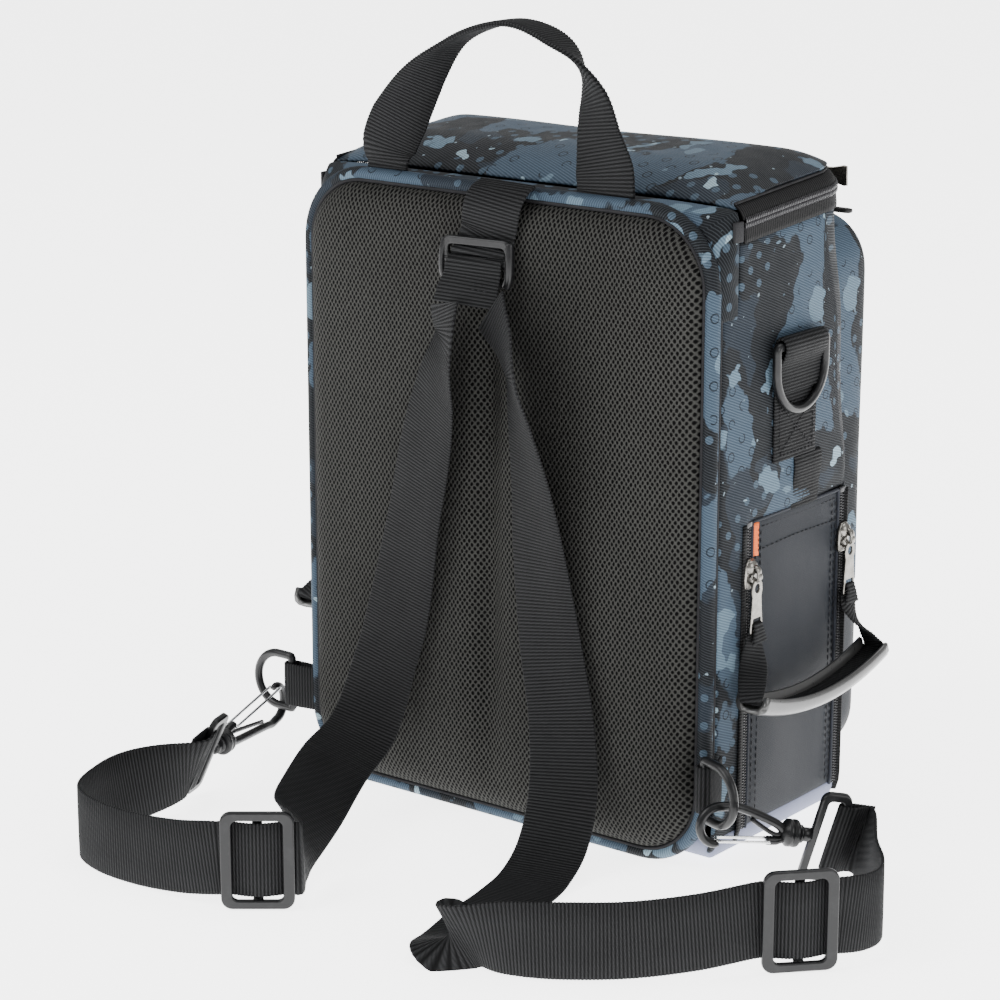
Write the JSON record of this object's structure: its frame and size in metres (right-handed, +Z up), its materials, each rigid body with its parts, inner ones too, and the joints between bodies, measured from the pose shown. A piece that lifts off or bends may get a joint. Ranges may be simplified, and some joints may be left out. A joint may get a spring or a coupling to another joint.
{
  "type": "tackle backpack",
  "caption": "Boxy padded tackle backpack with zipped lid, zipped side flaps with pull grips, front pocket, carry handle and clip-on shoulder straps.",
  "frame": {"origin": "centre of the bag's base on the ground", "axes": "+X to the wearer's right-hand side seen from the padded back, -Y is the padded back, +Z up"},
  "size_m": [0.4195, 0.3588, 0.4181],
  "materials": {
    "camo_fabric": "printed polyester, slate blue camouflage",
    "tarpaulin": "smooth coated fabric, blue grey",
    "air_mesh": "open spacer mesh",
    "lining": "matte lining over stiff board",
    "zip_tape": "nylon coil zip",
    "webbing": "ribbed nylon webbing",
    "black_plastic": "moulded acetal",
    "nickel": "nickel plated",
    "steel_wire": "bright drawn wire",
    "grip_plastic": "smoky translucent",
    "orange_tag": "woven",
    "soft_rubber": "moulded"
  },
  "bodies": {
    "bag": {"base_panel": "tarpaulin", "back_board": "lining", "back_pad": "air_mesh", "back_piping": "camo_fabric", "right_side_panel": "camo_fabric", "left_side_panel": "camo_fabric", "front_panel": "camo_fabric", "divider_panel": "lining", "lid_gusset": "camo_fabric", "body_zip": "zip_tape", "zip_stops": "zip_tape", "right_body_tracks": "zip_tape", "left_body_tracks": "zip_tape", "pocket_tub": "tarpaulin", "pocket_zip": "zip_tape", "right_side_patch": "webbing", "left_side_patch": "webbing", "flap_loops": "webbing", "right_tab": "webbing", "left_tab": "webbing", "top_tab": "webbing", "top_buckle": "black_plastic", "strap_cap": "webbing", "left_strap": "webbing", "right_strap": "webbing", "left_triglide": "black_plastic", "right_triglide": "black_plastic", "left_strap_ring": "black_plastic", "right_strap_ring": "black_plastic"},
    "lid": {"lid_panel": "camo_fabric", "lid_zip": "zip_tape"},
    "lid_right_slider": {"lid_right_slider": "nickel"},
    "lid_right_pull": {"lid_right_pull": "nickel"},
    "lid_left_slider": {"lid_left_slider": "nickel"},
    "lid_left_pull": {"lid_left_pull": "nickel"},
    "right_flap": {"right_flap": "tarpaulin", "right_flap_tracks": "zip_tape", "flap_tag": "orange_tag"},
    "left_flap": {"left_flap": "tarpaulin", "left_flap_tracks": "zip_tape"},
    "right_sliders": {"right_sliders": "nickel"},
    "left_sliders": {"left_sliders": "nickel"},
    "right_pull": {"right_zip_pulls": "nickel", "right_pull_webbing": "webbing", "right_grip": "grip_plastic"},
    "left_pull": {"left_zip_pulls": "nickel", "left_pull_webbing": "webbing", "left_grip": "grip_plastic"},
    "right_hook": {"right_hook": "black_plastic"},
    "left_hook": {"left_hook": "black_plastic"},
    "right_gate": {"right_gate": "steel_wire"},
    "left_gate": {"left_gate": "steel_wire"},
    "right_ring": {"right_ring": "black_plastic"},
    "left_ring": {"left_ring": "black_plastic"},
    "right_side_ring": {"right_side_ring": "black_plastic"},
    "left_side_ring": {"left_side_ring": "black_plastic"},
    "carry_handle": {"carry_handle": "webbing"},
    "pocket_door": {"pocket_door": "camo_fabric"},
    "pocket_slider": {"pocket_slider": "black_plastic"},
    "pocket_pull": {"pocket_pull": "soft_rubber"}
  },
  "joints": [
    {"name": "lid_hinge", "type": "hinge", "parent": "bag", "child": "lid", "pos_m": [0, -0.04646, 0.33198], "axis": [1, 0, 0], "range_deg": [0, 66]},
    {"name": "lid_right_slide", "type": "slide", "parent": "bag", "child": "lid_right_slider", "axis": [1, 0, 0], "range_m": [-0.008, 0.012]},
    {"name": "lid_right_pull_hinge", "type": "hinge", "parent": "lid_right_slider", "child": "lid_right_pull", "pos_m": [0.098, 0.06627, 0.33464], "axis": [0, -0.0767, 0.9971], "range_deg": [0, 100]},
    {"name": "lid_left_slide", "type": "slide", "parent": "bag", "child": "lid_left_slider", "axis": [1, 0, 0], "range_m": [-0.15, 0.008]},
    {"name": "lid_left_pull_hinge", "type": "hinge", "parent": "lid_left_slider", "child": "lid_left_pull", "pos_m": [0.064, 0.06627, 0.33464], "axis": [0, 0.0767, -0.9971], "range_deg": [0, 100]},
    {"name": "right_flap_hinge", "type": "hinge", "parent": "bag", "child": "right_flap", "pos_m": [0.13, 0, 0.0052], "axis": [0, 1, 0], "range_deg": [0, 25]},
    {"name": "right_zip_slide", "type": "slide", "parent": "right_flap", "child": "right_sliders", "axis": [0, 0, -1], "range_m": [0, 0.125]},
    {"name": "right_pull_hinge", "type": "hinge", "parent": "right_sliders", "child": "right_pull", "pos_m": [0.136, 0, 0.15], "axis": [0, -1, 0], "range_deg": [0, 100]},
    {"name": "left_flap_hinge", "type": "hinge", "parent": "bag", "child": "left_flap", "pos_m": [-0.13, 0, 0.0052], "axis": [0, -1, 0], "range_deg": [0, 70]},
    {"name": "left_zip_slide", "type": "slide", "parent": "left_flap", "child": "left_sliders", "axis": [0, 0, -1], "range_m": [0, 0.125]},
    {"name": "left_pull_hinge", "type": "hinge", "parent": "left_sliders", "child": "left_pull", "pos_m": [-0.136, 0, 0.15], "axis": [0, 1, 0], "range_deg": [0, 158]},
    {"name": "right_swivel", "type": "hinge", "parent": "bag", "child": "right_hook", "pos_m": [0.172, -0.048, 0.027], "axis": [-0.5929, -0.7802, 0.1992], "range_deg": [-6, 6]},
    {"name": "right_gate_hinge", "type": "hinge", "parent": "right_hook", "child": "right_gate", "pos_m": [0.1625, -0.0605, 0.02509], "axis": [-0.7962, 0.6051, 0], "range_deg": [0, 5], "stiffness_Nm_per_rad": 0.05, "springref_deg": -17.19},
    {"name": "left_swivel", "type": "hinge", "parent": "bag", "child": "left_hook", "pos_m": [-0.143, -0.127, 0.027], "axis": [-0.2385, 0.9697, 0.0525], "range_deg": [-6, 6]},
    {"name": "left_gate_hinge", "type": "hinge", "parent": "left_hook", "child": "left_gate", "pos_m": [-0.14651, -0.11271, 0.03278], "axis": [-0.9711, -0.2388, 0], "range_deg": [0, 5], "stiffness_Nm_per_rad": 0.05, "springref_deg": -17.19},
    {"name": "right_ring_hinge", "type": "hinge", "parent": "bag", "child": "right_ring", "pos_m": [0.135, -0.076, 0.05], "axis": [0, 0, 1], "range_deg": [-5, 5]},
    {"name": "left_ring_hinge", "type": "hinge", "parent": "bag", "child": "left_ring", "pos_m": [-0.145, -0.066, 0.045], "axis": [0, 0, 1], "range_deg": [-5, 5]},
    {"name": "right_side_ring_hinge", "type": "hinge", "parent": "bag", "child": "right_side_ring", "pos_m": [0.1358, 0, 0.262], "axis": [0, -1, 0], "range_deg": [0, 95]},
    {"name": "left_side_ring_hinge", "type": "hinge", "parent": "bag", "child": "left_side_ring", "pos_m": [-0.1358, 0, 0.262], "axis": [0, 1, 0], "range_deg": [0, 95]},
    {"name": "handle_hinge", "type": "hinge", "parent": "bag", "child": "carry_handle", "pos_m": [0, -0.062, 0.3382], "axis": [1, 0, 0], "range_deg": [-28, 85], "stiffness_Nm_per_rad": 0.15},
    {"name": "pocket_hinge", "type": "hinge", "parent": "bag", "child": "pocket_door", "pos_m": [0, 0.106, 0.1106], "axis": [-1, 0, 0], "range_deg": [0, 70]},
    {"name": "pocket_slide", "type": "slide", "parent": "bag", "child": "pocket_slider", "axis": [-1, 0, 0], "range_m": [0, 0.165]},
    {"name": "pocket_pull_hinge", "type": "hinge", "parent": "pocket_slider", "child": "pocket_pull", "pos_m": [0.084, 0.0632, 0.3176], "axis": [0, -1, 0], "range_deg": [0, 15]}
  ],
  "couplings": [
    {"joint": "right_zip_slide", "follows": "right_flap_hinge", "m_per_rad": 0.13},
    {"joint": "right_pull_hinge", "follows": "right_flap_hinge", "ratio": 3.99},
    {"joint": "left_zip_slide", "follows": "left_flap_hinge", "m_per_rad": 0.10223},
    {"joint": "left_pull_hinge", "follows": "left_flap_hinge", "ratio": 2.2557}
  ]
}
